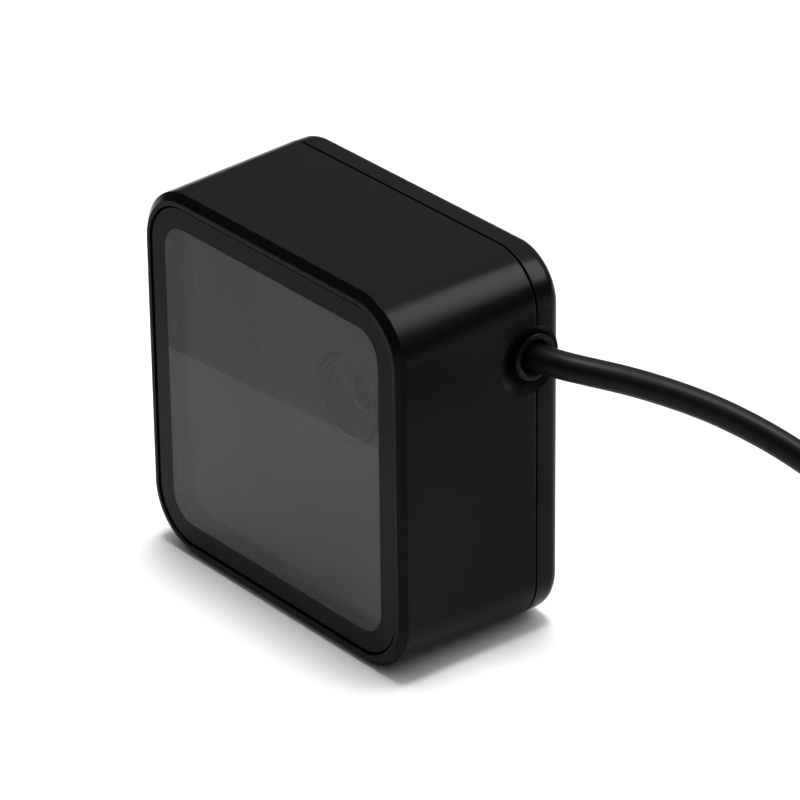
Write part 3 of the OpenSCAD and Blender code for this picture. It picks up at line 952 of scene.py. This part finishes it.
@dataclass
class Scanner:
    """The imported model's own pieces, dressed in their finishes."""

    workshop: Workshop
    # Edges sharper than this, in degrees, stay edges
    crease: float = 25
    # Corners closer together than this are one
    weld: float = 0.000002
    face_weight: int = 100

    def evening(self) -> bpy.types.NodeTree:
        """Makes the node group that shades the facets of one curve as one surface.

        Returns:
            The geometry node group.
        """
        group = bpy.data.node_groups.new("even_shading", "GeometryNodeTree")
        for way in ("INPUT", "OUTPUT"):
            group.interface.new_socket("Geometry", in_out=way, socket_type="NodeSocketGeometry")
        start = add_node(group, "NodeGroupInput").outputs["Geometry"]
        plain = add_node(
            group, "GeometryNodeRemoveAttribute", {"Name": "custom_normal"}, {"Geometry": start}
        )
        whole = add_node(
            group,
            "GeometryNodeMergeByDistance",
            {"Distance": self.weld},
            {"Geometry": plain.outputs[0]},
        )
        smooth = whole
        for domain in ("FACE", "EDGE"):
            smooth = add_node(
                group,
                "GeometryNodeSetShadeSmooth",
                {"domain": domain},
                {"Geometry": smooth.outputs[0]},
            )
        angle = add_node(group, "GeometryNodeInputMeshEdgeAngle").outputs["Unsigned Angle"]
        sharp = add_node(
            group,
            "FunctionNodeCompare",
            {"data_type": "FLOAT", "operation": "GREATER_THAN", 1: math.radians(self.crease)},
            {0: angle},
        )
        creased = add_node(
            group,
            "GeometryNodeSetShadeSmooth",
            {"domain": "EDGE", "Shade Smooth": False},
            {"Geometry": smooth.outputs[0], "Selection": sharp.outputs[0]},
        )
        add_node(group, "NodeGroupOutput", links={"Geometry": creased.outputs[0]})
        return group

    def build(self) -> list[bpy.types.Object]:
        """Gives each CAD node its finish, and evens the shading of its curves.

        Returns:
            The dressed pieces.
        """
        group = self.evening()
        pieces = []
        for node, finish in NODE_FINISH.items():
            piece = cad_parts[node]
            self.workshop.dress(piece, finish)
            piece.modifiers.new("even_shading", "NODES").node_group = group
            weights = piece.modifiers.new("flat_faces_stay_flat", "WEIGHTED_NORMAL")
            weights.keep_sharp = True
            weights.weight = self.face_weight
            pieces.append(piece)
        return pieces


@dataclass
class Studio:
    """A pale floor, a sheet of white card under the scanner, a bright sky and one softbox.

    The card ends about 60 mm before the window, so that the window mirrors its edge.
    """

    floor_paper: MattPaper = MattPaper("floor_paper", "#d3d3d3", 0.9)
    floor_height: float = -0.0002
    floor_half: float = 1.5
    # The card lies a hair above the floor, so that the two never share a plane
    card_paper: MattPaper = MattPaper("card_paper", "#f4f4f4", 0.9)
    card_height: float = -0.00019
    card_half: float = 0.4
    # The y of the card's slanting front edge, at its left and at its right end
    card_front: tuple[float, float] = (-0.0464, -0.1128)
    # Strength of the sky by height, where the sky's top leans back by its tilt in degrees
    sky_tilt: float = 25
    sky_stops: tuple[tuple[float, float], ...] = (
        (0.0, 0.05), (0.31, 0.08), (0.43, 0.25), (0.51, 0.3), (0.66, 0.6), (0.85, 1.1),
        (0.96, 1.8), (1.0, 1.9),
    )
    # The strength that white on the sky's ramp stands for
    sky_white: float = 2.0
    # The lamp overhead leans back and left, so that the scanner's foot shades the paper before it
    overhead: float = 44
    overhead_way: tuple[float, float, float] = (-0.03, 0.08, 0.996)
    # Cosine of the angle from its middle at which the lamp's light ends
    overhead_edge: float = 0.97
    softbox_aim: tuple[float, float, float] = (0, 0, 0.05)
    softbox_way: tuple[float, float, float] = (0.47, 0.56, 0.68)
    softbox_distance: float = 0.7
    softbox_width: float = 0.29
    softbox_length: float = 0.45
    softbox_watts: float = 5.7

    def sheet(
        self, name: str, paper: MattPaper, height: float, corners: list[tuple[float, float]]
    ) -> bpy.types.Object:
        """Lays a flat sheet of matt paper under the scanner.

        Args:
            name: the sheet's name.
            paper: what it is made of.
            height: the height at which it lies.
            corners: its corners.

        Returns:
            The sheet, marked as stage.
        """
        mesh = bpy.data.meshes.new(name)
        mesh.from_pydata([(x, y, height) for x, y in corners], [], [tuple(range(len(corners)))])
        sheet = bpy.data.objects.new(name, mesh)
        bpy.context.scene.collection.objects.link(sheet)
        mesh.materials.append(paper.material())
        return sheet

    def sky(self) -> None:
        """Lights the scene from all round: bright overhead and behind, dim before the window."""
        world = bpy.data.worlds.new("studio_sky")
        world.use_nodes = True
        tree = world.node_tree
        tree.nodes.clear()
        place = add_node(tree, "ShaderNodeTexCoord").outputs["Generated"]
        tilt = math.radians(self.sky_tilt)
        lifted = add_node(
            tree,
            "ShaderNodeVectorMath",
            {"operation": "DOT_PRODUCT", 1: (0, math.sin(tilt), math.cos(tilt))},
            {0: place},
        )
        ramp = add_node(tree, "ShaderNodeValToRGB", links={"Fac": lifted.outputs["Value"]})
        elements = ramp.color_ramp.elements
        while len(elements) < len(self.sky_stops):
            elements.new(0.5)
        for element, (where, strength) in zip(elements, self.sky_stops):
            grey = strength / self.sky_white
            element.position = where
            element.color = (grey, grey, grey, 1)
        near_lamp = add_node(
            tree,
            "ShaderNodeVectorMath",
            {"operation": "DOT_PRODUCT", 1: self.overhead_way},
            {0: place},
        )
        overhead = add_node(
            tree,
            "ShaderNodeMapRange",
            {
                "interpolation_type": "SMOOTHSTEP",
                "From Min": self.overhead_edge,
                "To Max": self.overhead,
            },
            {"Value": near_lamp.outputs["Value"]},
        )
        dome = add_node(
            tree,
            "ShaderNodeBackground",
            {"Strength": self.sky_white},
            {"Color": ramp.outputs["Color"]},
        )
        lamp = add_node(
            tree, "ShaderNodeBackground", links={"Strength": overhead.outputs["Result"]}
        )
        both = add_node(
            tree,
            "ShaderNodeAddShader",
            links={0: dome.outputs["Background"], 1: lamp.outputs["Background"]},
        )
        add_node(tree, "ShaderNodeOutputWorld", links={"Surface": both.outputs["Shader"]})
        bpy.context.scene.world = world

    def softbox(self) -> bpy.types.Object:
        """Hangs the softbox that draws the bright line along the housing's upper right edge.

        Returns:
            The light.
        """
        data = bpy.data.lights.new("softbox", "AREA")
        data.shape = "RECTANGLE"
        data.size, data.size_y = self.softbox_width, self.softbox_length
        data.energy = self.softbox_watts
        light = bpy.data.objects.new("softbox", data)
        light.visible_diffuse = False
        way = Vector(self.softbox_way).normalized()
        light.location = Vector(self.softbox_aim) + way * self.softbox_distance
        light.rotation_euler = way.to_track_quat("Z", "Y").to_euler()
        bpy.context.scene.collection.objects.link(light)
        return light

    def build(self) -> list[bpy.types.Object]:
        """Sets up floor, card, sky and softbox.

        Returns:
            The two sheets and the softbox.
        """
        far, wide = self.floor_half, self.card_half
        left, right = self.card_front
        floor_corners = [(-far, -far), (far, -far), (far, far), (-far, far)]
        card_corners = [(-wide, left), (wide, right), (wide, wide), (-wide, wide)]
        floor = self.sheet("floor", self.floor_paper, self.floor_height, floor_corners)
        card = self.sheet("card", self.card_paper, self.card_height, card_corners)
        self.sky()
        light = self.softbox()
        bpy.context.scene.view_settings.view_transform = "Standard"
        return [floor, card, light]


def main() -> None:
    """Builds the scene, in order, and reports each piece."""
    logging.basicConfig(level=logging.INFO, format="%(name)s: %(message)s")
    workshop = Workshop()
    dressed = (Lead(workshop), StrainRelief(workshop), Scanner(workshop))
    for assembly in (PhotoCamera(), *dressed, Studio()):
        for piece in assembly.build():
            log.info("%s: %s", type(assembly).__name__, piece.name)


if __name__ == "__main__":
    main()
